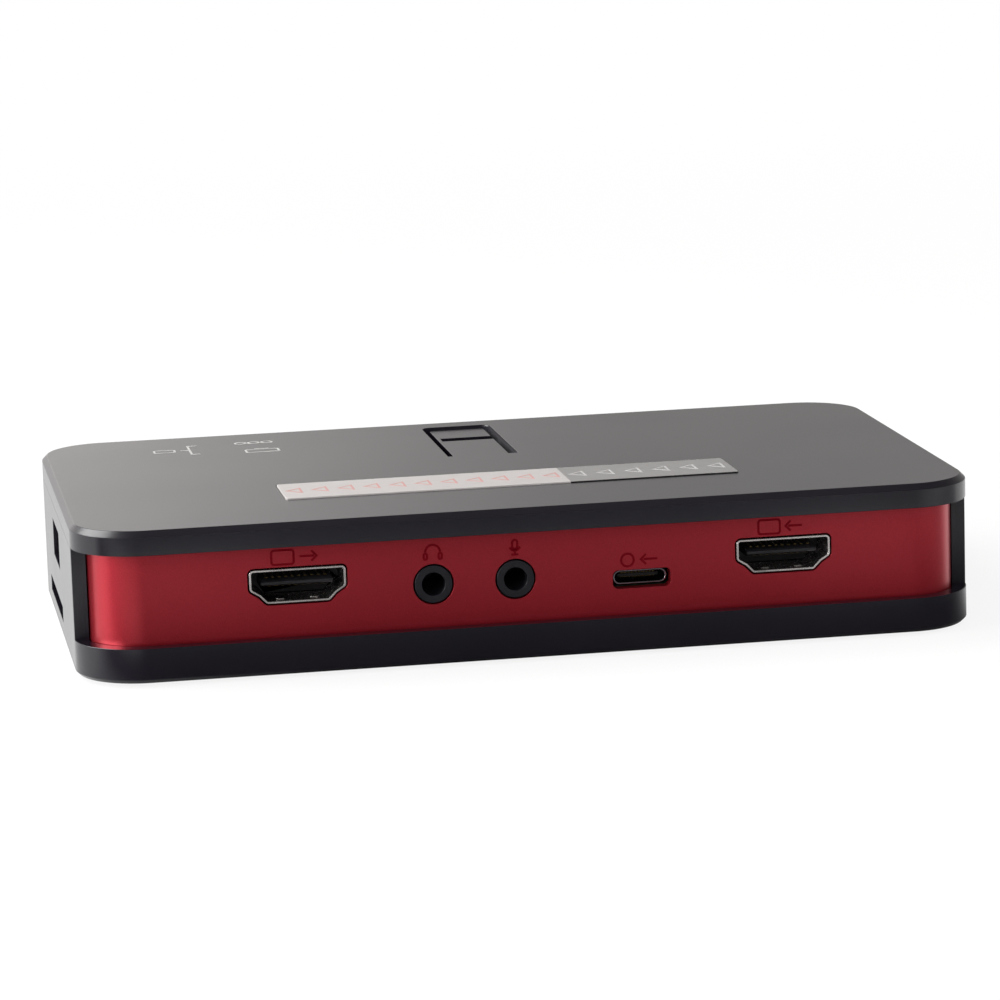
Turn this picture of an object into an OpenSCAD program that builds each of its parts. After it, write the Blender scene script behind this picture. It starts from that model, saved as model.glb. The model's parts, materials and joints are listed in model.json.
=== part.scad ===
// Video capture box: a flat case of two shells with a panel set back along each long side, sockets
// along the port side and in both end walls, and a record key cut free of the lid.
// Millimetres. +Z is up and the port side faces -Y. The origin lies under the middle of the case,
// at the height of the surface that the feet stand on.

/* [Case] */
// Width of the case along its port side
case_w = 140.4; // [134:0.2:160]
// Depth of the case from the port side to the user side
case_d = 83; // [78:0.5:96]
// Height of the case without its feet
case_h = 23.4; // [22.6:0.1:27]
// Corner radius of the case in plan
corner_r = 10.7; // [9.5:0.1:12]
// Thickness of the end walls and lips
wall = 2.2; // [1.8:0.1:2.5]
// Thickness of the lid's plate and of the floor
plate = 2; // [1.7:0.1:2.4]
// Chamfer round the top edge of the lid
top_chamfer = 0.85; // [0.4:0.05:1.2]
// Chamfer round the bottom edge of the tray
base_chamfer = 0.6; // [0.3:0.05:1]
// Height of the lid's rim, chamfer included
upper_lip = 3.75; // [3.4:0.05:4.6]
// Height of the tray's lip in front of the panels
lower_lip = 5.4; // [4.6:0.1:6.2]
// How far the end walls stop short of the port side and the user side
wall_stop = 9.5; // [7:0.5:12]
// Gap at the seam between the two shells
seam = 0.06; // [0.05:0.01:0.3]

/* [Panels] */
// Thickness of the port panel and of the user panel
panel_t = 2; // [1.6:0.1:2.4]
// Gap between a panel and the lips in front of it
panel_gap = 0.2; // [0.1:0.05:0.4]
// Length of a panel's straight ends along the end walls
panel_tail = 3; // [2:0.5:4]
// Thickness of the rails that stand behind the panels
rail_t = 1; // [0.8:0.1:1.4]
// Height of the rails that stand behind the panels
rail_h = 2.4; // [1.6:0.2:3]

/* [Label strip] */
// Width of the label strip
label_w = 71.9; // [60:0.1:80]
// Depth of the label strip
label_d = 12.6; // [10:0.1:14]
// Thickness of the label strip, which stands a little proud of the lid
label_t = 0.35; // [0.25:0.05:0.5]
// Distance of the label strip from the port side
label_edge = 19.1; // [15:0.1:21]
// Offset of the label strip to the right of the middle
label_x = 0.1; // [-4:0.1:4]

/* [Record key] */
// Width of the key
key_w = 9.2; // [7:0.1:11]
// Length of the key from its root to its free end
key_l = 27.8; // [24:0.2:30]
// Thickness of the key
key_t = 1.4; // [1.2:0.1:1.6]
// Width of the slit round the key
key_slit = 1.2; // [0.8:0.05:1.4]
// How far the key lies below the top of the lid
key_sink = 0.4; // [0.1:0.05:0.5]
// Distance of the slit from the user side
key_edge = 5.1; // [4.9:0.1:8]
// Offset of the key to the right of the middle
key_x = 0.2; // [-2:0.1:2]
// Length of the pad between the cross groove and the free end
key_pad = 8.1; // [7:0.1:11]
// Width of the cross groove
groove_w = 2.8; // [1:0.1:3.2]
// Depth of the cross groove
groove_depth = 0.5; // [0.3:0.05:0.8]
// Land left at the groove's closed end
groove_land = 0.6; // [0.3:0.1:1.5]
// Gap at the root of the key
key_root_gap = 0.08; // [0.05:0.01:0.15]
// Radius of the post under the key
post_r = 1.6; // [1.2:0.1:1.7]

/* [Feet and screws] */
// Radius of a foot
foot_r = 5; // [4:0.25:6]
// How far the feet stand below the case
foot_proud = 0.6; // [0.4:0.1:1.2]
// Depth of the feet in the floor
foot_sink = 0.8; // [0.5:0.1:1]
// Distance of the feet from the end walls
foot_inset_x = 23.5; // [20:0.5:28]
// Distance of the feet from the long sides
foot_inset_y = 16; // [14:0.5:20]
// Radius of the screw bosses in the corners
boss_r = 3.1; // [2.8:0.1:3.4]
// Radius of a case screw's shank
case_shank_r = 1.3; // [1.1:0.05:1.4]
// Radius of a case screw's head
case_head_r = 2.4; // [2:0.1:2.6]
// Height of a case screw's head
case_head_h = 1.6; // [1.2:0.1:2]
// Depth of a case screw's seat above the underside
case_seat = 3; // [2.6:0.1:3.6]
// Length of a case screw's core in the lid's boss
case_bite = 7; // [5:0.5:8]

/* [Board] */
// Thickness of the board
board_t = 1.6; // [1:0.1:1.8]
// Height of the board's standoffs
standoff_h = 5.9; // [5.6:0.1:6.4]
// Radius of the board's standoffs
standoff_r = 2.8; // [2.4:0.1:3]
// Gap round the edge of the board
board_gap = 0.4; // [0.3:0.05:0.7]
// Distance of the board's screws from the end walls
board_hole_x = 19; // [18:0.5:20]
// Distance of the board's screws from the long sides
board_hole_y = 10.5; // [9.5:0.5:11.5]
// Radius of a board screw's shank
board_shank_r = 0.9; // [0.7:0.05:1]
// Radius of a board screw's head
board_head_r = 2.1; // [1.8:0.1:2.3]

/* [Video sockets] */
// Distance of the video output socket from the left end wall
video_out_edge = 33.7; // [32:0.1:36]
// Distance of the video input socket from the right end wall
video_in_edge = 31.1; // [30:0.1:34]
// Width of a video socket's shell
video_w = 14.8; // [14.6:0.1:15.4]
// Height of a video socket's shell
video_h = 5.3; // [5:0.05:5.6]
// Width of the shell's flat underside
video_base = 9.6; // [9.4:0.1:10.8]
// Height at which the shell's sides end
video_slope = 2.1; // [1.9:0.1:2.5]
// How far outside the flat underside the bend of the lower corners lies
video_bend_out = 1.15; // [0.9:0.05:1.2]
// Height of the bend of the lower corners
video_bend_z = 1.2; // [1.1:0.05:1.4]
// Radius of the shell's corners
video_r = 0.7; // [0.5:0.05:0.9]
// Depth of a video socket
video_depth = 11.5; // [10.5:0.1:12.5]
// Height of a video socket's shell above the board
video_rise = 1.1; // [0.8:0.05:1.6]

/* [Audio jacks] */
// Place of the line output jack, right of the middle
line_out_x = -15.7; // [-17:0.1:-14]
// Place of the microphone jack, right of the middle
mic_x = -3; // [-4:0.1:-1]
// Height of a jack's axis above the board
jack_rise = 2.55; // [2.5:0.05:3]
// Width of a jack's body
jack_w = 6.6; // [6.4:0.1:7.4]
// Depth of a jack's body
jack_depth = 12.6; // [12:0.1:14]
// Radius of a jack's barrel
barrel_r = 2.9; // [2.6:0.05:3.2]
// Radius of a jack's bore
jack_bore_r = 1.8; // [1.76:0.02:1.9]
// Length of a jack's bore
jack_bore_l = 12; // [10:0.1:13]

/* [AV socket] */
// Place of the AV socket, right of the middle
av_x = 16.7; // [14:0.1:19]
// Width of the AV socket's shell
av_w = 8.4; // [8:0.1:9]
// Height of the AV socket's shell
av_h = 2.2; // [2:0.1:2.6]
// Depth of the AV socket
av_depth = 7.3; // [6.5:0.1:8]
// Height of the AV socket's middle above the board
av_rise = 1.4; // [1.35:0.05:1.9]
// How far the AV socket lies behind the panel's face
av_recess = 1.7; // [1.2:0.1:1.8]
// Gap between the AV socket and the edge of its window
av_gap = 0.35; // [0.2:0.05:0.5]

/* [End wall sockets] */
// Distance of the host socket from the user side
host_edge = 38.8; // [37:0.1:41]
// Width of the host socket's shell
host_w = 13.1; // [12.8:0.1:13.6]
// Height of the host socket's shell
host_h = 5.7; // [5.5:0.1:6]
// Depth of the host socket
host_depth = 14; // [12:0.5:15]
// Height of the host socket's shell above the board
host_rise = 1.5; // [1:0.1:2]
// Distance of the card socket from the user side
card_edge = 34.2; // [32:0.1:36]
// Width of the card slot
card_w = 24.4; // [24.2:0.1:25]
// Height of the card slot
card_h = 2.3; // [2.2:0.05:2.6]
// Depth of the card socket
card_depth = 28; // [24:0.5:30]
// Distance of the power inlet from the user side
power_edge = 33.5; // [32:0.5:36]
// Height of the power inlet's axis above the board
power_rise = 5.5; // [5.2:0.1:6]
// Width of the power inlet's body
power_w = 9; // [8.6:0.1:9.6]
// Depth of the power inlet's body
power_depth = 13; // [12:0.5:14]
// Radius of the power inlet's bore
power_bore_r = 3.15; // [3:0.05:3.3]
// Radius of the power inlet's pin
power_pin_r = 1.05; // [0.9:0.05:1.3]

/* [Record switch] */
// Width of the switch's square base
switch_w = 6; // [5.6:0.1:6.4]
// Height of the switch's base
switch_h = 3.4; // [3.2:0.1:4]
// Height of the plunger's top above the board
plunger_top = 7.3; // [6.5:0.1:8]
// Radius of the plunger's stem
plunger_r = 1.7; // [1.4:0.05:1.8]
// Radial gap round the plunger, which swings a little with the key
plunger_gap = 0.28; // [0.24:0.02:0.4]

/* [Hidden] */
$fn = 48;
over = 0.5;
fit = 0.1;
metal = 0.35;
contact_t = 0.1;
contact_margin = 0.3;

case_black = "#26252a";
panel_red = "#8e1f2a";
plastic_black = "#1b1b1e";
shell_metal = "#c9c7c4";
contact_gold = "#c9a646";
board_green = "#1f5136";

base_z = foot_proud;
floor_z = base_z + plate;
lip_z = base_z + lower_lip;
top_z = base_z + case_h;
ceiling_z = top_z - plate;
lid_z = top_z - upper_lip;
tray_top_z = lid_z - seam;
end_x = case_w / 2 - wall;
end_corner_x = case_w / 2 - corner_r;
side_corner_y = case_d / 2 - corner_r;

panel_inset = wall + panel_gap;
port_y = -case_d / 2 + panel_inset;
panel_back = case_d / 2 - panel_inset - panel_t;
panel_z = floor_z + fit;
panel_h = ceiling_z - fit - panel_z;
panel_end_y = side_corner_y - panel_tail;
rail_y = panel_back - fit;
rail_l = 2 * (end_corner_x - boss_r);

board_z = floor_z + standoff_h;
board_top = board_z + board_t;
board_w = 2 * (end_x - board_gap);
board_d = 2 * (panel_back - board_gap);
notch_gap = 0.8;
board_inner_w = 2 * (end_corner_x - boss_r - notch_gap);
board_inner_d = 2 * (side_corner_y - max(boss_r, panel_tail) - notch_gap);
board_front = -board_d / 2;

screw_gap = 0.05;
boss_rise = 2;
boss_split = board_top + boss_rise;
screw_step = 0.25;
case_core_r = case_shank_r - screw_step;
case_seat_z = base_z + case_seat;
board_head_h = 1.2;
board_screw_spare = 1.2;
board_screw_bite = standoff_h - board_screw_spare;

label_y = -case_d / 2 + label_edge + label_d / 2;
label_gap = 0.1;
label_sink = 0.15;

key_far = case_d / 2 - key_edge - key_slit;
key_root = key_far - key_l;
key_top = top_z - key_sink;
key_under = key_top - key_t;
post_y = key_far - key_pad / 2;
slit_r = 1.5;
rib_w = 1.2;
rib_h = 1.2;
switch_plunger_z = board_top + plunger_top;
collar_gap = 0.06;

video_z = board_top + video_rise;
video_out_x = -case_w / 2 + video_out_edge;
video_in_x = case_w / 2 - video_in_edge;
video_bend_in = (video_w - video_base) / 2 - video_bend_out;
video_flank_base = video_w - 2 * video_bend_in * video_slope / (video_slope - video_bend_z);
video_skirt_h = video_bend_z * (video_w - video_base) / 2 / video_bend_out;
video_window_gap = 0.25;
video_tongue_start = 1.2;
video_tongue_l = 6.5;
video_tongue_w = 11;
video_tongue_t = 1.2;
video_tongue_z = 2.3;
video_nose = 0.45;
video_taper = 1.2;
video_contact_start = 2.8;
video_pitch = 1;
video_contact_w = 0.45;

jack_front = board_front - fit;
jack_z = board_top + jack_rise;
jack_hole_gap = 0.25;

av_front = port_y + av_recess;
av_z = board_top + av_rise;
av_metal = 0.25;
av_window_r = 0.9;
av_tongue_start = 1.6;
av_tongue_l = 4.6;
av_tongue_w = 6.4;
av_tongue_t = 0.5;

socket_setback = 0.3;
socket_front = end_x - socket_setback;
host_y = case_d / 2 - host_edge;
host_z = board_top + host_rise;
host_window_gap = 0.15;
host_tongue_start = 0.8;
host_tongue_l = 8.6;
host_tongue_w = 11;
host_tongue_t = 1.9;
host_tongue_z = 2.9;

card_y = case_d / 2 - card_edge;
card_rim = 1.8;
card_roof = 2.7;
card_z = board_z - card_roof - card_h;
card_cover_t = 0.2;
card_window_gap = [1.4, 0.15];

power_y = case_d / 2 - power_edge;
power_z = board_top + power_rise;
power_bore_l = 9.6;
power_tip = 1;

collar_w = 0.55;
well_r = plunger_r + collar_w;
collar_h = 0.6;
cover_t = 0.25;

locating_rib_y = 20;
capacitor_inset = 26;
capacitor_x = end_x - capacitor_inset;
capacitor_rows = [-4, 4, 18, 26];
inductor_inset = 16;
inductor_x = end_x - inductor_inset;
inductor_rows = [-16, -7, 20];
memory_size = [9, 13, 1.1];
memory_step = 12;
memory_x = capacitor_x - memory_step;
memory_rows = [-4.5, 9.5];
processor_step = 18;
processor_place = [memory_x - processor_step, 2];
processor_w = 17;
processor_h = 1.3;
sink_w = 14;
flash_size = [5.2, 5.2, 1.8];
flash_step = [-16, 10];
flash_place = processor_place + flash_step;
receiver_size = [10, 10, 1.2];
sender_size = [9, 9, 1.2];
video_chip_y = -16.5;
audio_size = [6, 6, 1.2];
audio_chip_y = -15;
audio_place = [(line_out_x + mic_x) / 2, audio_chip_y];
crystal_x = -20;
crystal_rows = [2, 22];

// Shared shapes

function edge_points(reach, h, low, high) = concat(
    low > 0 ? [[reach - low, 0], [reach, low]] : [[reach, 0]],
    high > 0 ? [[reach, h - high], [reach - high, h]] : [[reach, h]]
);
function mirrored(points) = [for (i = [len(points) - 1:-1:0]) [-points[i][0], points[i][1]]];

// A block with round corners in plan and chamfered lower and upper edges
module rounded_block(w, d, h, r, low = 0, high = 0) {
    across_d = edge_points(d / 2, h, low, high);
    across_w = edge_points(w / 2, h, low, high);
    corner = edge_points(r, h, low, high);
    rotate([90, 0, 90])
        linear_extrude(w - 2 * r, center = true)
            polygon(concat(across_d, mirrored(across_d)));
    rotate([90, 0, 0])
        linear_extrude(d - 2 * r, center = true)
            polygon(concat(across_w, mirrored(across_w)));
    for (quarter = [0:3])
        rotate(90 * quarter)
            translate(quarter % 2 == 0 ? [w / 2 - r, d / 2 - r, 0] : [d / 2 - r, w / 2 - r, 0])
                rotate_extrude(angle = 90)
                    polygon(concat([[0, 0]], corner, [[0, h]]));
}

// The outline of the case drawn in by an inset, as a block
module case_block(inset, z, h, low = 0, high = 0) {
    translate([0, 0, z])
        rounded_block(case_w - 2 * inset, case_d - 2 * inset, h, corner_r - inset, low, high);
}

module box(from, to) {
    translate(from)
        cube(to - from);
}

module four_corners(x, y) {
    for (sx = [-1, 1], sy = [-1, 1])
        translate([sx * x, sy * y, 0])
            children();
}

// Draws an outline of X and Z along Y
module along_y(y, depth) {
    translate([0, y + depth, 0])
        rotate([90, 0, 0])
            linear_extrude(depth)
                children();
}

// Draws an outline of Y and Z along X
module along_x(x, depth) {
    translate([x, 0, 0])
        rotate([90, 0, 90])
            linear_extrude(depth)
                children();
}

module stadium(w, h) {
    square([w - h, h], center = true);
    for (side = [-1, 1])
        translate([side * (w - h) / 2, 0])
            circle(d = h);
}

module rounded_window(w, h, r) {
    square([w - 2 * r, h], center = true);
    square([w, h - 2 * r], center = true);
    for (sx = [-1, 1], sy = [-1, 1])
        translate([sx * (w / 2 - r), sy * (h / 2 - r)])
            circle(r);
}

// A pan head with a cross recess; its seat is at zero and it stands down from there
module screw_head(r, h) {
    slot_w = r * 0.3;
    slot_l = r * 1.2;
    crown_r = r * 0.7;
    rim_h = h * 0.5;
    difference() {
        rotate_extrude()
            polygon([[0, 0], [r, 0], [r, -rim_h], [crown_r, -h], [0, -h]]);
        for (turn = [0, 90])
            rotate(turn)
                box([-slot_l / 2, -slot_w / 2, -h - over], [slot_l / 2, slot_w / 2, -rim_h]);
    }
}

// Case

module corner_bosses(z, h) {
    four_corners(end_corner_x, side_corner_y)
        translate([0, 0, z])
            cylinder(r = boss_r, h = h);
}

module panel_rails(z, h) {
    for (side = [0, 180])
        rotate(side)
            box([-rail_l / 2, -rail_y, z], [rail_l / 2, -rail_y + rail_t, z + h]);
}

// The opening that the key lies in, with round corners at the key's free end
module key_opening() {
    w = key_w + 2 * key_slit;
    l = key_far + key_slit - key_root;
    translate([key_x, key_root, ceiling_z - over])
        linear_extrude(plate + 2 * over) {
            translate([-w / 2, 0])
                square([w, l - slit_r]);
            translate([slit_r - w / 2, 0])
                square([w - 2 * slit_r, l]);
            for (side = [-1, 1])
                translate([side * (w / 2 - slit_r), l - slit_r])
                    circle(slit_r);
        }
}

module label_recess() {
    side = label_w / 2 + label_gap;
    half_d = label_d / 2 + label_gap;
    translate([label_x, label_y, top_z - label_sink])
        box([-side, -half_d, 0], [side, half_d, label_sink + over]);
}

module upper_shell() {
    color(case_black)
        difference() {
            union() {
                difference() {
                    case_block(0, lid_z, upper_lip, 0, top_chamfer);
                    case_block(wall, lid_z - over, upper_lip - plate + over);
                }
                corner_bosses(boss_split + seam, ceiling_z + over - boss_split - seam);
                panel_rails(ceiling_z - rail_h, rail_h + over);
            }
            key_opening();
            label_recess();
            four_corners(end_corner_x, side_corner_y)
                translate([0, 0, boss_split - over])
                    cylinder(r = case_core_r + screw_gap, h = case_bite + 2 * over);
        }
}

// A rib on an end wall that stands up inside the lid's rim
module locating_rib(side, y) {
    rib_l = 8;
    rib_t = 0.9;
    rib_rise = upper_lip - plate - over;
    rib_root = 3.5;
    inner = end_x - fit;
    mirror([side < 0 ? 1 : 0, 0, 0])
        translate([0, y - rib_l / 2, 0]) {
            box([inner - rib_t, 0, tray_top_z - rib_root], [end_x + over, rib_l, tray_top_z]);
            box([inner - rib_t, 0, tray_top_z - rib_root], [inner, rib_l, tray_top_z + rib_rise]);
        }
}

module end_wall_windows() {
    reach = wall + 2 * over;
    along_x(-case_w / 2 - over, reach)
        translate([host_y, host_z + host_h / 2])
            square([host_w + 2 * host_window_gap, host_h + 2 * host_window_gap], center = true);
    along_x(-case_w / 2 - over, reach)
        translate([card_y, card_z + card_h / 2])
            square([card_w, card_h] + 2 * card_window_gap, center = true);
    translate([end_x - over, power_y, power_z])
        rotate([0, 90, 0])
            cylinder(r = power_bore_r + fit, h = reach);
}

module lower_shell() {
    window_y = case_d / 2 - wall_stop;
    color(case_black)
        difference() {
            union() {
                difference() {
                    case_block(0, base_z, tray_top_z - base_z, base_chamfer, 0);
                    case_block(wall, floor_z, case_h);
                    for (side = [0, 180])
                        rotate(side)
                            box([-case_w, window_y, lip_z], [case_w, case_d, top_z]);
                }
                corner_bosses(floor_z - over, boss_split - floor_z + over);
                panel_rails(floor_z - over, rail_h + over);
                four_corners(case_w / 2 - board_hole_x, case_d / 2 - board_hole_y)
                    translate([0, 0, floor_z - over])
                        cylinder(r = standoff_r, h = standoff_h + over);
                for (side = [-1, 1], y = [-locating_rib_y, locating_rib_y])
                    locating_rib(side, y);
            }
            four_corners(end_corner_x, side_corner_y) {
                translate([0, 0, base_z - over])
                    cylinder(r = case_head_r + fit, h = case_seat + over);
                translate([0, 0, base_z])
                    cylinder(r = case_shank_r + fit, h = boss_split);
            }
            four_corners(case_w / 2 - board_hole_x, case_d / 2 - board_hole_y)
                translate([0, 0, board_z - board_screw_bite - fit])
                    cylinder(r = board_shank_r + screw_gap, h = board_screw_bite + over);
            four_corners(case_w / 2 - foot_inset_x, case_d / 2 - foot_inset_y)
                translate([0, 0, base_z - over])
                    cylinder(r = foot_r + fit, h = foot_sink + over);
            end_wall_windows();
        }
}

// A band that follows the case inside its lips and turns in along the end walls
module side_panel() {
    difference() {
        case_block(panel_inset, panel_z, panel_h);
        case_block(panel_inset + panel_t, panel_z - over, panel_h + 2 * over);
        box([-case_w, -panel_end_y, 0], [case_w, case_d, 2 * top_z]);
    }
}

module port_panel() {
    reach = panel_t + 2 * over;
    color(panel_red)
        difference() {
            side_panel();
            along_y(port_y - over, reach) {
                for (x = [video_out_x, video_in_x])
                    translate([x, video_z])
                        video_profile(-video_window_gap);
                for (x = [line_out_x, mic_x])
                    translate([x, jack_z])
                        circle(barrel_r + jack_hole_gap);
                translate([av_x, av_z])
                    rounded_window(av_w + 2 * av_gap, av_h + 2 * av_gap, av_window_r);
            }
        }
}

module user_panel() {
    color(panel_red)
        rotate(180)
            side_panel();
}

module label_strip() {
    label_r = 0.4;
    color("#b9b7b3")
        translate([label_x, label_y, top_z - label_sink])
            rounded_block(label_w, label_d, label_t, label_r);
}

module record_key() {
    rib_l = key_l - key_pad;
    groove_y = key_far - key_pad - groove_w;
    color(case_black)
        difference() {
            union() {
                box([key_x - key_w / 2, key_root + key_root_gap, key_under],
                    [key_x + key_w / 2, key_far, key_top]);
                box([key_x - rib_w / 2, post_y - rib_l, key_under - rib_h],
                    [key_x + rib_w / 2, post_y, key_under + over]);
                translate([key_x, post_y, switch_plunger_z])
                    cylinder(r = post_r, h = key_under + over - switch_plunger_z);
            }
            box([key_x - key_w / 2 + groove_land, groove_y, key_top - groove_depth],
                [key_x + key_w, groove_y + groove_w, top_z + over]);
        }
}

module rubber_feet() {
    soft = 0.25;
    h = foot_proud + foot_sink;
    color("#1a1a1a")
        four_corners(case_w / 2 - foot_inset_x, case_d / 2 - foot_inset_y)
            rotate_extrude()
                polygon([[0, 0], [foot_r - soft, 0], [foot_r, soft], [foot_r, h], [0, h]]);
}

module case_screws() {
    color("#8c8c90")
        four_corners(end_corner_x, side_corner_y) {
            translate([0, 0, case_seat_z]) {
                screw_head(case_head_r, case_head_h);
                cylinder(r = case_shank_r, h = boss_split - case_seat_z);
            }
            translate([0, 0, boss_split])
                cylinder(r = case_core_r, h = case_bite);
        }
}

// Board and its screws

module main_board() {
    color(board_green)
        translate([0, 0, board_z])
            linear_extrude(board_t)
                difference() {
                    union() {
                        square([board_w, board_inner_d], center = true);
                        square([board_inner_w, board_d], center = true);
                    }
                    four_corners(case_w / 2 - board_hole_x, case_d / 2 - board_hole_y)
                        circle(board_shank_r + 2 * fit);
                }
}

module board_screws() {
    color("#a8a8ac")
        four_corners(case_w / 2 - board_hole_x, case_d / 2 - board_hole_y) {
            translate([0, 0, board_top])
                mirror([0, 0, 1])
                    screw_head(board_head_r, board_head_h);
            translate([0, 0, board_z - board_screw_bite])
                cylinder(r = board_shank_r, h = board_screw_bite + board_t);
        }
}

// Video sockets: a shell with sloped lower corners round a tongue with two rows of contacts

// The six-sided upper outline of a video socket's shell, drawn in by an inset
function video_outline(inset) =
    let (
        side = video_w / 2,
        run = side - video_flank_base / 2,
        slope_l = norm([run, video_slope]),
        shift = [-video_slope / slope_l, run / slope_l] * inset,
        low_t = (inset - shift[1]) / video_slope,
        high_t = (run - inset - shift[0]) / run,
        low = [video_flank_base / 2 + shift[0] + low_t * run, inset],
        high = [side - inset, shift[1] + high_t * video_slope],
        right = [low, high, [side - inset, video_h - inset]]
    )
    concat(right, mirrored(right));

// The steeper skirt below the bend, drawn in by an inset
function video_skirt(inset) =
    let (
        flank = [video_bend_out, video_bend_z] / norm([video_bend_out, video_bend_z]),
        start = [video_base / 2 - inset * flank[1], inset * flank[0]],
        right = [for (z = [inset, video_skirt_h - inset]) [start[0] + (z - start[1]) * flank[0] / flank[1], z]]
    )
    concat(right, mirrored(right));

function turned_out(from, to) = [to[1] - from[1], from[0] - to[0]] / norm(to - from);

// An outline with round corners, given the corners' centres
module rounded_outline(centres, r) {
    count = len(centres);
    polygon([
        for (i = [0:count - 1], side = [-1, 0])
            centres[i] + r * turned_out(centres[(i + side + count) % count], centres[(i + side + 1) % count])
    ]);
    for (centre = centres)
        translate(centre)
            circle(r);
}

module video_profile(inset) {
    for (centres = [video_outline(video_r), video_skirt(video_r)])
        rounded_outline(centres, video_r - inset);
}

module video_shell(x) {
    leg_l = 1.6;
    tab_w = 1.2;
    tab_l = 2.4;
    tab_h = 0.15;
    tab_in = 1.4;
    tab_x = 2.6;
    back_y = port_y + video_depth;
    color(shell_metal)
        translate([x, 0, 0]) {
            translate([0, 0, video_z]) {
                difference() {
                    along_y(port_y, video_depth)
                        video_profile(0);
                    along_y(port_y - over, video_depth - metal + over)
                        video_profile(metal);
                }
                for (side = [-1, 1])
                    translate([side * tab_x - tab_w / 2, port_y + tab_in, metal / 2])
                        cube([tab_w, tab_l, metal / 2 + tab_h]);
            }
            for (side = [0, 1], y = [board_front + leg_l, back_y - leg_l])
                mirror([side, 0, 0])
                    box([video_w / 2 - metal, y - leg_l / 2, board_top],
                        [video_w / 2, y + leg_l / 2, video_z + video_slope + leg_l / 2]);
        }
}

module video_insert(x) {
    back_l = video_depth - video_tongue_l - metal - fit;
    slant = (video_tongue_t - video_nose) / 2;
    tip = port_y + video_tongue_start;
    root = port_y + video_tongue_l + over;
    color(plastic_black)
        translate([x, 0, video_z]) {
            along_y(port_y + video_tongue_l, back_l)
                video_profile(metal + fit / 2);
            along_x(-video_tongue_w / 2, video_tongue_w)
                translate([0, video_tongue_z])
                    polygon([[tip, slant], [tip + video_taper, 0], [root, 0], [root, video_tongue_t],
                             [tip + video_taper, video_tongue_t], [tip, slant + video_nose]]);
        }
}

module video_contacts(x) {
    rows = [[10, video_tongue_z + video_tongue_t], [9, video_tongue_z - contact_t]];
    color(contact_gold)
        for (row = rows, i = [0:row[0] - 1])
            translate([x + (i - (row[0] - 1) / 2) * video_pitch - video_contact_w / 2,
                       port_y + video_contact_start,
                       video_z + row[1]])
                cube([video_contact_w, video_tongue_l - video_contact_start - contact_margin, contact_t]);
}

module video_out_shell() {
    video_shell(video_out_x);
}

module video_out_insert() {
    video_insert(video_out_x);
}

module video_out_contacts() {
    video_contacts(video_out_x);
}

module video_in_shell() {
    video_shell(video_in_x);
}

module video_in_insert() {
    video_insert(video_in_x);
}

module video_in_contacts() {
    video_contacts(video_in_x);
}

// Audio jacks

module audio_jack(x) {
    color("#25262b")
        translate([x, 0, 0])
            difference() {
                union() {
                    box([-jack_w / 2, jack_front, board_top],
                        [jack_w / 2, jack_front + jack_depth, board_top + 2 * jack_rise]);
                    translate([0, jack_front + fit / 2, jack_z])
                        rotate([90, 0, 0])
                            cylinder(r = barrel_r, h = jack_front + fit / 2 - port_y);
                }
                translate([0, port_y + jack_bore_l, jack_z])
                    rotate([90, 0, 0])
                        cylinder(r = jack_bore_r, h = jack_bore_l + over);
            }
}

module line_out_jack() {
    audio_jack(line_out_x);
}

module mic_jack() {
    audio_jack(mic_x);
}

// Solder tabs on both flanks of each jack
module jack_terminals() {
    tab = [0.9, 1.6, 0.4];
    tab_places = [jack_depth / 4, jack_depth * 3 / 4];
    color(shell_metal)
        for (x = [line_out_x, mic_x], side = [-1, 1], y = tab_places)
            translate([x + side * (jack_w + tab[0]) / 2 - tab[0] / 2, jack_front + y, board_top])
                cube(tab);
}

// AV socket: a round-ended shell round a thin tongue

module av_in_shell() {
    leg_w = 0.9;
    leg_l = 1.4;
    back_y = av_front + av_depth;
    color(shell_metal)
        translate([av_x, 0, 0]) {
            difference() {
                translate([0, 0, av_z])
                    along_y(av_front, av_depth)
                        stadium(av_w, av_h);
                translate([0, 0, av_z])
                    along_y(av_front - over, av_depth - av_metal + over)
                        stadium(av_w - 2 * av_metal, av_h - 2 * av_metal);
            }
            for (side = [-1, 1], y = [board_front + leg_l, back_y - leg_l])
                translate([side * (av_w / 2 - av_h / 2), y, 0])
                    box([-leg_w / 2, -leg_l / 2, board_top],
                        [leg_w / 2, leg_l / 2, av_z - av_h / 2 + av_metal / 2]);
        }
}

module av_in_insert() {
    back_l = av_depth - av_tongue_l - av_metal - fit;
    color(plastic_black)
        translate([av_x, 0, av_z]) {
            along_y(av_front + av_tongue_l, back_l)
                stadium(av_w - 2 * av_metal - fit, av_h - 2 * av_metal - fit);
            box([-av_tongue_w / 2, av_front + av_tongue_start, -av_tongue_t / 2],
                [av_tongue_w / 2, av_front + av_tongue_l + over, av_tongue_t / 2]);
        }
}

module av_in_contacts() {
    count = 10;
    pitch = 0.55;
    contact_w = 0.28;
    color(contact_gold)
        for (i = [0:count - 1], z = [av_tongue_t / 2, -av_tongue_t / 2 - contact_t])
            translate([av_x + (i - (count - 1) / 2) * pitch - contact_w / 2,
                       av_front + av_tongue_start + contact_margin,
                       av_z + z])
                cube([contact_w, av_tongue_l - av_tongue_start - 2 * contact_margin, contact_t]);
}

// Host socket in the left end wall

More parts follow.
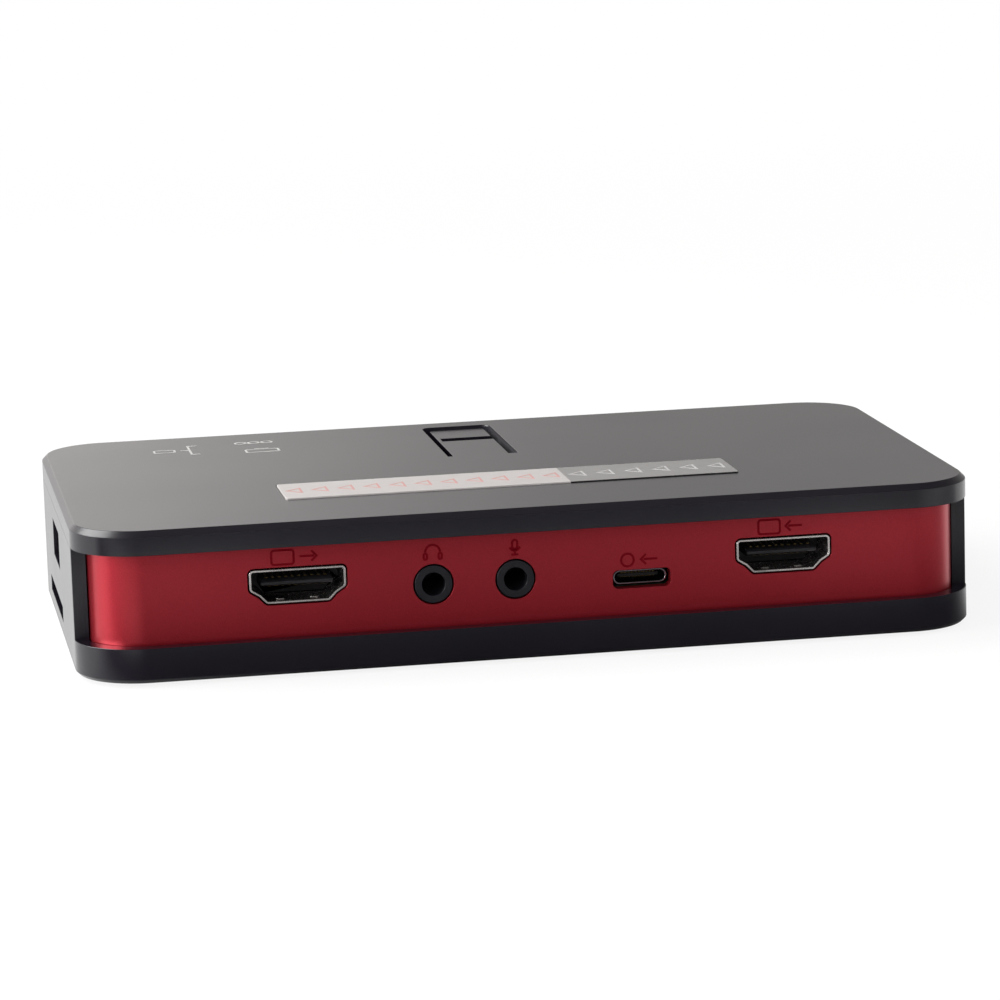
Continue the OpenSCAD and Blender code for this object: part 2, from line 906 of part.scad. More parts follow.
module host_socket_shell() {
    leg = 1.6;
    color(shell_metal)
        translate([0, host_y, 0]) {
            difference() {
                along_x(-socket_front, host_depth)
                    translate([0, host_z + host_h / 2])
                        square([host_w, host_h], center = true);
                along_x(-socket_front - over, host_depth - metal + over)
                    translate([0, host_z + host_h / 2])
                        square([host_w - 2 * metal, host_h - 2 * metal], center = true);
            }
            for (side = [0, 1], x = [leg * 2, host_depth - leg])
                mirror([0, side, 0])
                    translate([x - socket_front, 0, 0])
                        box([-leg / 2, host_w / 2 - metal, board_top], [leg / 2, host_w / 2, host_z + leg]);
        }
}

module host_socket_insert() {
    back_l = host_depth - host_tongue_l - metal - fit;
    inner_w = host_w - 2 * metal - fit;
    inner_h = host_h - 2 * metal - fit;
    color(plastic_black)
        translate([-socket_front, host_y, host_z]) {
            box([host_tongue_l, -inner_w / 2, metal + fit / 2],
                [host_tongue_l + back_l, inner_w / 2, metal + fit / 2 + inner_h]);
            box([host_tongue_start, -host_tongue_w / 2, host_tongue_z],
                [host_tongue_l + over, host_tongue_w / 2, host_tongue_z + host_tongue_t]);
        }
}

module host_socket_contacts() {
    count = 4;
    pitch = 2.3;
    contact_w = 1;
    color(contact_gold)
        for (i = [0:count - 1])
            translate([host_tongue_start + contact_margin - socket_front,
                       host_y + (i - (count - 1) / 2) * pitch - contact_w / 2,
                       host_z + host_tongue_z - contact_t])
                cube([host_tongue_l - host_tongue_start - 2 * contact_margin, contact_w, contact_t]);
}

// Card socket under the board, with its slot in the left end wall

module card_socket_frame() {
    outer_w = card_w + 2 * card_rim;
    color(plastic_black)
        translate([-socket_front, card_y, 0])
            difference() {
                box([0, -outer_w / 2, card_z], [card_depth, outer_w / 2, board_z]);
                box([-over, -card_w / 2, card_z - over],
                    [card_depth - card_rim, card_w / 2, card_z + card_h]);
            }
}

module card_socket_cover() {
    outer_w = card_w + 2 * card_rim;
    window = [card_depth / 3, card_w / 2];
    color(shell_metal)
        translate([-socket_front, card_y, card_z - card_cover_t])
            difference() {
                box([0, -outer_w / 2, 0], [card_depth, outer_w / 2, card_cover_t]);
                translate([card_depth / 2 - window[0] / 2, -window[1] / 2, -over])
                    cube([window[0], window[1], card_cover_t + 2 * over]);
            }
}

module card_socket_contacts() {
    count = 9;
    pitch = 2.5;
    contact_l = 6;
    contact_w = 1;
    color(contact_gold)
        for (i = [0:count - 1])
            translate([card_depth - card_rim - contact_l - socket_front,
                       card_y + (i - (count - 1) / 2) * pitch - contact_w / 2,
                       card_z + card_h - 2 * contact_t])
                cube([contact_l, contact_w, 2 * contact_t]);
}

// Power inlet in the right end wall

module power_inlet_body() {
    color(plastic_black)
        translate([socket_front - power_depth, power_y, 0])
            difference() {
                along_x(0, power_depth) {
                    translate([0, (board_top + power_z) / 2])
                        square([power_w, power_rise], center = true);
                    translate([0, power_z])
                        circle(d = power_w);
                }
                translate([power_depth - power_bore_l, 0, power_z])
                    rotate([0, 90, 0])
                        cylinder(r = power_bore_r, h = power_bore_l + over);
            }
}

module power_inlet_pin() {
    pin_l = power_bore_l - power_tip;
    tip_l = 0.5;
    color(shell_metal)
        translate([socket_front - power_bore_l, power_y, power_z])
            rotate([0, 90, 0])
                rotate_extrude()
                    polygon([[0, 0], [power_pin_r, 0], [power_pin_r, pin_l - tip_l], [power_pin_r / 2, pin_l],
                             [0, pin_l]]);
}

module power_inlet_terminals() {
    tab = [0.5, power_w / 4, power_w / 3];
    color(shell_metal)
        for (side = [-1, 1])
            translate([socket_front - power_depth - tab[0],
                       power_y + side * power_w / 4 - tab[1] / 2,
                       board_top])
                cube(tab);
}

// Record switch under the key

module record_switch_base() {
    color(plastic_black)
        translate([key_x, post_y, board_top])
            difference() {
                translate([-switch_w / 2, -switch_w / 2, 0])
                    cube([switch_w, switch_w, switch_h]);
                translate([0, 0, collar_h])
                    cylinder(r = well_r + plunger_gap, h = switch_h);
            }
}

module record_switch_cover() {
    color(shell_metal)
        translate([key_x, post_y, board_top + switch_h])
            difference() {
                translate([-switch_w / 2, -switch_w / 2, 0])
                    cube([switch_w, switch_w, cover_t]);
                translate([0, 0, -over])
                    cylinder(r = plunger_r + plunger_gap, h = cover_t + 2 * over);
            }
}

module record_switch_plunger() {
    collar_top = switch_h - collar_gap;
    color("#2c2c30")
        translate([key_x, post_y, board_top])
            rotate_extrude()
                polygon([[0, collar_top - collar_h], [well_r, collar_top - collar_h], [well_r, collar_top],
                         [plunger_r, collar_top], [plunger_r, plunger_top], [0, plunger_top]]);
}

// Chips and other parts on the board, placed from the middle of the board

module chip(place, size) {
    mark = 0.6;
    difference() {
        translate([place[0] - size[0] / 2, place[1] - size[1] / 2, board_top])
            cube(size);
        translate([place[0] - size[0] / 2 + 2 * mark,
                   place[1] + size[1] / 2 - 2 * mark,
                   board_top + size[2] - mark / 4])
            cylinder(r = mark, h = mark);
    }
}

module processor_chip() {
    color("#2b2b2e")
        translate([processor_place[0] - processor_w / 2, processor_place[1] - processor_w / 2, board_top])
            cube([processor_w, processor_w, processor_h]);
}

module heat_sink() {
    fins = 7;
    fin_t = 0.8;
    fin_h = 5;
    foot_h = 1.4;
    pitch = (sink_w - fin_t) / (fins - 1);
    color("#b4b6b9")
        translate([processor_place[0], processor_place[1], board_top + processor_h])
            along_y(-sink_w / 2, sink_w) {
                translate([-sink_w / 2, 0])
                    square([sink_w, foot_h]);
                for (i = [0:fins - 1])
                    translate([-sink_w / 2 + i * pitch, 0])
                        square([fin_t, foot_h + fin_h]);
            }
}

module memory_chips() {
    color("#2b2b2e")
        for (y = memory_rows)
            chip([memory_x, y], memory_size);
}

module flash_chip() {
    color("#2b2b2e")
        chip(flash_place, flash_size);
}

module video_receiver_chip() {
    color("#2b2b2e")
        chip([video_in_x, video_chip_y], receiver_size);
}

module video_sender_chip() {
    color("#2b2b2e")
        chip([video_out_x, video_chip_y], sender_size);
}

module audio_chip() {
    color("#2b2b2e")
        chip(audio_place, audio_size);
}

module capacitors() {
    can_r = 3.15;
    can_h = 5.6;
    seat_w = 6.6;
    seat_h = 0.9;
    color("#c4c6c8")
        for (y = capacitor_rows)
            translate([capacitor_x, y, board_top]) {
                translate([-seat_w / 2, -seat_w / 2, 0])
                    cube([seat_w, seat_w, seat_h]);
                cylinder(r = can_r, h = can_h);
            }
}

module inductors() {
    coil_w = 7;
    coil_h = 3.8;
    coil_r = 1.2;
    coil_chamfer = 0.5;
    color("#3c3c40")
        for (y = inductor_rows)
            translate([inductor_x, y, board_top])
                rounded_block(coil_w, coil_w, coil_h, coil_r, 0, coil_chamfer);
}

module crystals() {
    can_l = 11;
    can_w = 4.6;
    can_h = 3.4;
    color("#c9c9cb")
        for (y = crystal_rows)
            translate([crystal_x, y, board_top])
                linear_extrude(can_h)
                    stadium(can_l, can_w);
}

upper_shell();
lower_shell();
port_panel();
user_panel();
label_strip();
record_key();
rubber_feet();
case_screws();
main_board();
board_screws();
video_out_shell();
video_out_insert();
video_out_contacts();
video_in_shell();
video_in_insert();
video_in_contacts();
line_out_jack();
mic_jack();
jack_terminals();
av_in_shell();
av_in_insert();
av_in_contacts();
host_socket_shell();
host_socket_insert();
host_socket_contacts();
card_socket_frame();
card_socket_cover();
card_socket_contacts();
power_inlet_body();
power_inlet_pin();
power_inlet_terminals();
record_switch_base();
record_switch_cover();
record_switch_plunger();
processor_chip();
heat_sink();
memory_chips();
flash_chip();
video_receiver_chip();
video_sender_chip();
audio_chip();
capacitors();
inductors();
crystals();
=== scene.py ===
"""The looks of a video capture box, dressed onto its packed CAD frame.

Laid out as an add-on: property groups hold the sizes and colours that a user would change, each operator
finishes or makes one group of pieces, and main() runs them in order.
"""

import json
import math

import bmesh
import bpy
from bpy.props import FloatProperty, FloatVectorProperty, IntProperty, PointerProperty
from mathutils import Matrix, Vector


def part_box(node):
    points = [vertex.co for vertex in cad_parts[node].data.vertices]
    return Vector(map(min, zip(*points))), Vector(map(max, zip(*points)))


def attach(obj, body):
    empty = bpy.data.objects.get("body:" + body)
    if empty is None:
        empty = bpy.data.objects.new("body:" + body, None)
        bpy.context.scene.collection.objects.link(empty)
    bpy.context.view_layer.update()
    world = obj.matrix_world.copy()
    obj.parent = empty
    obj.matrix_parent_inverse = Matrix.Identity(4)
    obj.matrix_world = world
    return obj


bl_info = {
    "name": "Video Capture Box",
    "version": (1, 0, 0),
    "blender": (4, 5, 0),
    "location": "3D View > Sidebar > Capture Box",
    "description": "Finishes and fine detail of a video capture box on its CAD frame",
    "category": "Object",
}

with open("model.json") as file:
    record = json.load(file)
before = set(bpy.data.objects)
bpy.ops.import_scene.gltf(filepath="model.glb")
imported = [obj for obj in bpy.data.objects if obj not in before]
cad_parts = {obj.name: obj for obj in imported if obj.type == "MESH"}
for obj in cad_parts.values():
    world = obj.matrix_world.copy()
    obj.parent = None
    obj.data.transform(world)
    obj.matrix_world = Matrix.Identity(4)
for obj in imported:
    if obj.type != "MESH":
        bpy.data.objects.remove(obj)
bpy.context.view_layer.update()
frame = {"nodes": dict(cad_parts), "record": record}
NODES = frame["nodes"]
SLOTS = {part["node"]: part["material_slot"] for part in frame["record"]["subparts"]}
MM = 0.001
WHITE = (1, 1, 1, 1)
BLACK = (0, 0, 0, 1)

LID_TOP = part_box("upper_shell")[1][2]
PANEL_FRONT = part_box("port_panel")[0][1]
LABEL_LOW, LABEL_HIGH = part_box("label_strip")
KEY_LOW, KEY_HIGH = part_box("record_key")


# Shader maths


class Wire:
    """One shader socket that takes part in Python maths; each operation adds its Math node."""

    def __init__(self, sheet, socket):
        self.sheet = sheet
        self.socket = socket

    def of(self, name):
        """Another output of the same node."""
        return Wire(self.sheet, self.socket.node.outputs[name])

    def between(self, low, high, start=0.0, end=1.0):
        """Runs smoothly from start to end as this value goes from low to high."""
        return self.sheet.node(
            "ShaderNodeMapRange",
            {"interpolation_type": "SMOOTHSTEP"},
            {"Value": self, "From Min": low, "From Max": high, "To Min": start, "To Max": end},
        )

    def inside(self, one, other):
        """1 inside two borders and 0 outside; a border runs from its outer to its inner place."""
        return self.between(*one) * self.between(*other)

    def larger(self, other):
        """The larger of two values."""
        return self.sheet.math("MAXIMUM", self, other)

    def swing(self, amount):
        """A noise's rise and fall about its middle, over a range of this amount."""
        middle = 0.5
        return (self - middle) * amount

    def __add__(self, other):
        return self.sheet.math("ADD", self, other)

    def __radd__(self, other):
        return self.sheet.math("ADD", other, self)

    def __sub__(self, other):
        return self.sheet.math("SUBTRACT", self, other)

    def __rsub__(self, other):
        return self.sheet.math("SUBTRACT", other, self)

    def __mul__(self, other):
        return self.sheet.math("MULTIPLY", self, other)

    def __rmul__(self, other):
        return self.sheet.math("MULTIPLY", other, self)


class NodeSheet:
    """A node tree that is filled in by expressions."""

    def __init__(self, tree):
        self.tree = tree
        tree.nodes.clear()

    def feed(self, socket, value):
        """Links a socket to a wire, or sets its value."""
        if isinstance(value, Wire):
            self.tree.links.new(value.socket, socket)
        else:
            socket.default_value = value

    def node(self, kind, settings=None, inputs=None, output=0):
        """Adds a node: its settings, then the values or links of its sockets."""
        made = self.tree.nodes.new(kind)
        for name, value in (settings or {}).items():
            setattr(made, name, value)
        for key, value in (inputs or {}).items():
            self.feed(made.inputs[key], value)
        return Wire(self, made.outputs[output]) if made.outputs else None

    def math(self, operation, *values):
        """Adds a Math node."""
        return self.node("ShaderNodeMath", {"operation": operation}, dict(enumerate(values)))

    def mix(self, factor, first, second):
        """Mixes two colours; the sockets are numbered because their names repeat for each data type."""
        return self.node("ShaderNodeMix", {"data_type": "RGBA"}, {0: factor, 6: first, 7: second}, output=2)

    def place(self):
        """The place on the part in metres, in the shared frame."""
        return self.node("ShaderNodeTexCoord", output="Object")

    def axes(self, vector):
        """The x, y and z of a place or a direction."""
        x = self.node("ShaderNodeSeparateXYZ", {}, {0: vector})
        return x, x.of("Y"), x.of("Z")

    def stretched(self, place, scale):
        """A place measured in other lengths along each axis."""
        return self.node("ShaderNodeVectorMath", {"operation": "MULTIPLY"}, {0: place, 1: scale})

    def noise(self, place, size, detail=2.0):
        """Soft noise whose features are about size metres across."""
        return self.node("ShaderNodeTexNoise", {}, {"Vector": place, "Scale": 1 / size, "Detail": detail})

    def bump(self, height, depth):
        """A normal that follows a height of this depth in metres."""
        return self.node("ShaderNodeBump", {}, {"Height": height, "Distance": depth})

    def rays(self):
        """Whether a ray comes straight from the camera or through glass, and whether it is glossy."""
        path = self.node("ShaderNodeLightPath")
        return path.of("Is Camera Ray") + path.of("Is Transmission Ray"), path.of("Is Glossy Ray")

    def surface(self, **sockets):
        """A Principled shader as the material's surface; underscores stand for spaces."""
        inputs = {name.replace("_", " "): value for name, value in sockets.items()}
        shader = self.node("ShaderNodeBsdfPrincipled", {}, inputs)
        self.node("ShaderNodeOutputMaterial", {}, {"Surface": shader})


def colour(values):
    """A colour with its alpha."""
    return (*values, 1.0)


def darker(tint, part):
    """A colour with only a part of its brightness."""
    return [part * value for value in tint]


def new_finish(name):
    """An empty material and the sheet that its nodes are written on."""
    material = bpy.data.materials.new(name)
    material.use_nodes = True
    return material, NodeSheet(material.node_tree)


# Finishes

# How much of a noise's range goes from the deep to the pale tone of a finish
WIDE = (0.25, 0.75)
MEDIUM = (0.3, 0.7)
NARROW = (0.35, 0.65)


def case_plastic(name, case, dulled=False):
    """Satin black moulding with a fine eroded grain, faint flow marks and handled patches."""
    material, sheet = new_finish(name)
    place = sheet.place()
    along_x = (1.0, 3.0, 3.0)
    grain = sheet.noise(place, case.grain_size, detail=3.0)
    patches = sheet.noise(place, case.patch_size, detail=3.0)
    flow = sheet.noise(sheet.stretched(place, along_x), case.flow_size)
    tone = patches.between(*MEDIUM) * (1 - case.flow_share) + flow * case.flow_share
    worn = patches.swing(case.unevenness) + grain.swing(case.unevenness)
    if dulled:
        worn = worn + lid_dulling(sheet, place, case)
    sheet.surface(
        Base_Color=sheet.mix(tone, colour(case.colour_deep), colour(case.colour_pale)),
        Roughness=case.roughness + worn,
        Specular_IOR_Level=case.gloss,
        Normal=sheet.bump(grain, case.grain_depth),
    )
    return material


def lid_dulling(sheet, place, case):
    """How much rougher the lid is along its handled rim and on the walls of the slit round the key."""
    soft = 0.1 * MM
    edge = 2 * soft
    around = 2 * MM
    x, y, z = sheet.axes(place)
    depth = LID_TOP - z
    rim = depth.between(0.0, soft) * depth.between(case.rim_depth, case.rim_depth + soft, 1.0, 0.0)
    walls = depth.between(edge, edge + soft)
    for value, low, high in zip((x, y), KEY_LOW, KEY_HIGH):
        first, last = low - around, high + around
        walls = walls * value.inside((first, first + soft), (last, last - soft))
    return rim * case.rim_dulling + walls * case.slit_dulling


def panel_plastic(panels):
    """Deep red satin lacquer with a fine flake in it."""
    material, sheet = new_finish("panel_plastic")
    place = sheet.place()
    flake = sheet.noise(place, panels.flake_size, detail=1.0)
    drift = sheet.noise(place, panels.drift_size)
    peel = sheet.noise(place, panels.peel_size, detail=1.0)
    tone = flake.between(*NARROW) * (1 - panels.drift_share) + drift * panels.drift_share
    sheet.surface(
        Base_Color=sheet.mix(tone, colour(panels.red_deep), colour(panels.red_pale)),
        Roughness=panels.roughness + flake.swing(panels.unevenness),
        Metallic=panels.flake_share,
        Coat_Weight=panels.coat,
        Coat_Roughness=panels.coat_roughness,
        Normal=sheet.bump(peel, panels.peel_depth),
    )
    return material


def label_foil(label):
    """Satin printed film: a silver part on the left and a grey part on the right, whose side faces carry
    painted shade.
    """
    material, sheet = new_finish("label_foil")
    place = sheet.place()
    soft = 0.02 * MM
    along_x = (0.04, 1.0, 1.0)
    top = LABEL_HIGH[2] - label.edge
    x, _, z = sheet.axes(place)
    right = x.between(label.split - soft, label.split + soft)
    # Painted shade: the grey part's faces below its top are coloured near-black, standing in for its shaded
    # side.
    painted_shade_edge = right * z.between(top - soft, top, 1.0, 0.0)
    brushed = sheet.noise(sheet.stretched(place, along_x), label.brush_size, detail=3.0)
    streaks = brushed.between(*WIDE)
    silver = sheet.mix(streaks, colour(label.silver_deep), colour(label.silver_pale))
    grey = sheet.mix(streaks, colour(label.grey_deep), colour(label.grey_pale))
    film = sheet.mix(right, silver, grey)
    sheet.surface(
        # Painted shade on the grey part's side faces.
        Base_Color=sheet.mix(painted_shade_edge, film, colour(label.side)),
        Roughness=label.roughness + brushed.swing(label.unevenness),
        Normal=sheet.bump(brushed, label.brush_depth),
    )
    return material


def plated_metal(name, tint, roughness, streak):
    """Plated sheet metal with drawn streaks and slight tarnish."""
    material, sheet = new_finish(name)
    place = sheet.place()
    along_y = (1.0, 0.08, 1.0)
    streak_depth = 0.0015 * MM
    streak_unevenness = 0.16
    tarnish_size = 2.5 * MM
    tarnish_spread = (0.35, 0.8)
    tarnish_unevenness = 0.08
    drawn = sheet.noise(sheet.stretched(place, along_y), streak, detail=3.0)
    tarnish = sheet.noise(place, tarnish_size, detail=3.0)
    dull = darker(tint, part=0.72)
    sheet.surface(
        Base_Color=sheet.mix(tarnish.between(*tarnish_spread), colour(tint), colour(dull)),
        Metallic=1.0,
        Roughness=roughness + drawn.swing(streak_unevenness) + tarnish.swing(tarnish_unevenness),
        Normal=sheet.bump(drawn, streak_depth),
    )
    return material


def plain_moulding(name, tint, deep_share, roughness, grain_size, grain_depth):
    """Moulded plastic, rubber or epoxy with a grain of its own; its deep tone is a share of its tint."""
    material, sheet = new_finish(name)
    place = sheet.place()
    cloud_size = 14 * grain_size
    unevenness = 0.12
    grain = sheet.noise(place, grain_size, detail=3.0)
    cloud = sheet.noise(place, cloud_size)
    deep = darker(tint, deep_share)
    sheet.surface(
        Base_Color=sheet.mix(cloud.between(*MEDIUM), colour(deep), colour(tint)),
        Roughness=roughness + grain.swing(unevenness),
        Normal=sheet.bump(grain, grain_depth),
    )
    return material


def board_laminate(board):
    """Green solder mask over copper tracks, with the laminate's weave showing through."""
    material, sheet = new_finish("board_laminate")
    place = sheet.place()
    track_share = 0.6
    weave_share = 0.2
    tracks = sheet.node(
        "ShaderNodeTexBrick",
        {"offset": 0.37, "offset_frequency": 3, "squash": 0.6, "squash_frequency": 2},
        {
            "Vector": place, "Scale": 1 / board.track_pitch, "Mortar Size": 0.06, "Mortar Smooth": 0.2,
            "Color1": BLACK, "Color2": BLACK, "Mortar": WHITE,
        },
        output="Color",
    )
    track = sheet.node("ShaderNodeRGBToBW", {}, {0: tracks})
    weave = sheet.noise(place, board.weave_size)
    tone = track * track_share + weave * weave_share
    sheet.surface(
        # Painted shade: the mask and track greens are darkened to stand in for the shade inside the box.
        Base_Color=sheet.mix(tone, colour(board.mask), colour(board.track)),
        Roughness=board.roughness + weave * board.unevenness,
        Normal=sheet.bump(track, board.track_depth),
    )
    return material


def print_ink(name, deep, pale, flake=0.0, gloss=0.5):
    """A thin printed mark with slightly uneven ink."""
    material, sheet = new_finish(name)
    speckle_size = 0.25 * MM
    roughness = 0.5
    unevenness = 0.2
    speckle = sheet.noise(sheet.place(), speckle_size)
    sheet.surface(
        Base_Color=sheet.mix(speckle.between(*MEDIUM), colour(deep), colour(pale)),
        Roughness=roughness + speckle.swing(unevenness),
        Metallic=flake,
        Specular_IOR_Level=gloss,
    )
    return material


# Property groups


def shade(name, description, default):
    """A colour setting."""
    return FloatVectorProperty(
        name=name, description=description, default=default, size=3, min=0.0, max=1.0, subtype="COLOR"
    )


def length(name, description, default):
    """A length setting in metres."""
    return FloatProperty(
        name=name, description=description, default=default, min=0.0, unit="LENGTH", precision=6
    )


def share(name, description, default):
    """A setting from 0 to 1."""
    return FloatProperty(
        name=name, description=description, default=default, min=0.0, max=1.0, subtype="FACTOR"
    )


def number(name, description, default):
    """A count of at least one."""
    return IntProperty(name=name, description=description, default=default, min=1)


def turn(name, description, degrees):
    """An angle setting."""
    return FloatProperty(
        name=name, description=description, default=math.radians(degrees), subtype="ANGLE", unit="ROTATION"
    )


class CaseSettings(bpy.types.PropertyGroup):
    """Finish of the two shells and the record key."""

    colour_deep: shade("Deep", "Darker tone of the black plastic", (0.0062, 0.0050, 0.0086))
    colour_pale: shade("Pale", "Lighter tone of the black plastic", (0.0098, 0.0080, 0.0134))
    roughness: share("Roughness", "How satin the plastic is", 0.20)
    unevenness: share("Unevenness", "How much the satin changes over grain and patches", 0.06)
    gloss: share("Gloss", "Strength of the plastic's reflections", 0.70)
    grain_size: length("Grain", "Size of the eroded grain", 0.00022)
    grain_depth: length("Grain depth", "Depth of the eroded grain", 0.000006)
    patch_size: length("Patches", "Size of the handled patches", 0.03)
    flow_size: length("Flow", "Width of the flow marks", 0.01)
    flow_share: share("Flow share", "How much of the tone follows the flow marks", 0.5)
    slit_dulling: share("Slit dulling", "How much rougher the walls round the key are", 0.75)
    rim_dulling: share("Rim dulling", "How much rougher the lid's handled rim is", 0.1)
    rim_depth: length("Rim", "Height of the lid's handled rim", 0.0009)
    edge: length("Edge", "Width of the softened edges", 0.00007)


class PanelSettings(bpy.types.PropertyGroup):
    """Finish of the red panels."""

    red_deep: shade("Deep red", "Darker tone of the lacquer", (0.41, 0.0155, 0.028))
    red_pale: shade("Pale red", "Lighter tone of the lacquer", (0.515, 0.0210, 0.037))
    roughness: share("Roughness", "How satin the lacquer is", 0.34)
    unevenness: share("Unevenness", "How much the satin changes from flake to flake", 0.1)
    flake_share: share("Flake", "How metallic the lacquer is", 0.78)
    coat: share("Coat", "Weight of the clear coat", 0.45)
    coat_roughness: share("Coat roughness", "How satin the clear coat is", 0.26)
    flake_size: length("Flake size", "Size of the flakes", 0.00015)
    drift_size: length("Drift", "Size of the slow change of tone", 0.02)
    drift_share: share("Drift share", "How much of the tone follows the slow change", 0.4)
    peel_size: length("Peel", "Size of the lacquer's ripple", 0.0012)
    peel_depth: length("Peel depth", "Depth of the lacquer's ripple", 0.000003)
    edge: length("Edge", "Width of the softened edges", 0.00005)


class LabelSettings(bpy.types.PropertyGroup):
    """Finish of the label strip."""

    silver_deep: shade("Silver, deep", "Darker streaks of the left part", (0.475, 0.448, 0.438))
    silver_pale: shade("Silver, pale", "Lighter streaks of the left part", (0.585, 0.555, 0.545))
    grey_deep: shade("Grey, deep", "Darker streaks of the right part", (0.230, 0.223, 0.218))
    grey_pale: shade("Grey, pale", "Lighter streaks of the right part", (0.295, 0.286, 0.280))
    # Painted shade: near-black colour for the grey part's side faces, standing in for their shade.
    side: shade("Side", "Cut edge of the grey part", (0.012, 0.011, 0.011))
    split: length("Split", "How far right of the middle the grey part starts", 0.0091)
    roughness: share("Roughness", "How satin the film is", 0.38)
    unevenness: share("Unevenness", "How much the satin changes from streak to streak", 0.1)
    brush_size: length("Brushing", "Width of the brushed streaks", 0.00012)
    brush_depth: length("Brushing depth", "Depth of the brushed streaks", 0.000002)
    edge: length("Edge", "Width of the softened edges", 0.00005)


class BoardSettings(bpy.types.PropertyGroup):
    """Finish of the board."""

    # Painted shade: both greens are darkened so that the board reads as shade through the windows.
    mask: shade("Mask", "Solder mask on bare laminate", (0.004, 0.020, 0.011))
    track: shade("Track", "Solder mask over copper", (0.012, 0.048, 0.024))
    track_pitch: length("Tracks", "Distance of the tracks", 0.004)
    track_depth: length("Track depth", "How far a track stands proud", 0.00003)
    weave_size: length("Weave", "Size of the laminate's weave", 0.0004)
    roughness: share("Roughness", "How satin the mask is", 0.34)
    unevenness: share("Unevenness", "How much the weave roughens the mask", 0.12)


class SocketSettings(bpy.types.PropertyGroup):
    """Colours of the sockets, the chips and the small fixings."""

    plated: shade("Plated", "Plated sheet metal of the sockets", (0.97, 0.92, 0.90))
    # Painted shade: a darkened copy of the socket plating, for the flat socket deep in its window.
    shaded_plated: shade("Dark plated", "Plating of the flat socket", (0.40, 0.34, 0.38))
    # Painted shade: the contacts' gold is darkened because they lie in shade inside the sockets.
    gold_in_shade: shade("Gold", "Plating of the contacts", (0.42, 0.30, 0.12))
    steel: shade("Steel", "Screws", (0.50, 0.50, 0.51))
    aluminium: shade("Aluminium", "Heat sink and cans", (0.66, 0.67, 0.68))
    insert: shade("Insert", "Black plastic inside the sockets", (0.018, 0.017, 0.020))
    jack: shade("Jack", "Plastic of the audio jacks", (0.011, 0.011, 0.015))
    rubber: shade("Rubber", "Feet", (0.014, 0.014, 0.014))
    epoxy: shade("Epoxy", "Chips", (0.020, 0.020, 0.021))
    edge: length("Edge", "Width of the softened edges", 0.00007)


class MarkSettings(bpy.types.PropertyGroup):
    """Generic signs by the sockets, on the lid and on the label."""

    panel_deep: shade("Panel, deep", "Darker tone of the signs on the panel", (0.25, 0.004, 0.012))
    panel_pale: shade("Panel, pale", "Lighter tone of the signs on the panel", (0.31, 0.007, 0.018))
    panel_gloss: share("Panel, gloss", "Strength of these signs' reflections", 0.1)
    lid_deep: shade("Lid, deep", "Darker tone of the signs on the lid", (0.48, 0.48, 0.46))
    lid_pale: shade("Lid, pale", "Lighter tone of the signs on the lid", (0.66, 0.66, 0.64))
    red_deep: shade("Red, deep", "Darker tone of the arrowheads on the silver film", (0.55, 0.27, 0.25))
    red_pale: shade("Red, pale", "Lighter tone of the arrowheads on the silver film", (0.61, 0.34, 0.32))
    light_deep: shade("Light, deep", "Darker tone of the arrowheads on the grey film", (0.46, 0.45, 0.44))
    light_pale: shade("Light, pale", "Lighter tone of the arrowheads on the grey film", (0.56, 0.55, 0.54))
    silver_count: number("On silver", "How many arrowheads are on the silver film", 11)
    grey_count: number("On grey", "How many arrowheads are on the grey film", 6)
    stroke: length("Stroke", "Width of a sign's line", 0.00034)
    proud: length("Thickness", "How far a sign stands proud", 0.00002)
    video_height: length("Video signs", "Height of the signs over the video sockets", 0.0183)
    jack_height: length("Jack signs", "Height of the signs over the jacks", 0.0176)
    flat_height: length("Flat socket sign", "Height of the sign over the flat socket", 0.0145)


class StageSettings(bpy.types.PropertyGroup):
    """Camera, floor and light."""

    camera_place: FloatVectorProperty(
        name="Camera", description="Place of the camera", default=(-0.108842, -0.65837, 0.142187),
        size=3, subtype="TRANSLATION", unit="LENGTH", precision=6,
    )
    yaw: turn("Yaw", "Turn of the camera to the right", 9.5144)
    pitch: turn("Pitch", "How far the camera looks down", 10.565)
    roll: turn("Roll", "Tilt of the camera", -1.7319)
    focal: FloatProperty(
        name="Focal length", description="Lens in millimetres", default=150.913, min=1.0, unit="CAMERA"
    )
    floor_size: length("Floor", "Width of the floor", 12.0)
    floor_drop: length("Floor drop", "How far the floor lies under the feet", 0.00003)
    floor_glow: share("Floor glow", "Share of the floor's white that no shadow dims", 0.86)
    floor_tone: share("Floor tone", "How much light the floor gives back", 0.70)
    front_gloss: share("Front gloss", "How bright gloss sees the floor in front", 0.10)
    near_share: share("Near share", "Share of that which is left close to the part", 0.55)
    strip_gloss: share("Strip gloss", "How much brighter gloss sees a strip of it", 0.44)
    end_gloss: share("End gloss", "How much brighter still gloss sees the strip's ends", 0.45)
    corner_gloss: share("Corner gloss", "How bright gloss sees the floor by the left corner", 0.95)
    right_gloss: share("Right gloss", "How bright gloss sees the floor on the far right", 0.4)
    studio: share("Studio", "Brightness of the studio all round", 0.14)
    behind: share("Behind", "How much brighter the studio is behind the part", 0.33)
    behind_left: share("Behind left", "How much brighter still it is there to the left", 0.76)
    left: share("Left", "How much brighter it is on the left in front", 0.45)
    warmth: shade("Warmth", "Tint of the studio's walls in gloss", (1.0, 0.975, 0.95))


# Helpers for pieces


def dress(node, material):
    """Gives a CAD node its finish."""
    slots = NODES[node].data.materials
    slots.clear()
    slots.append(material)


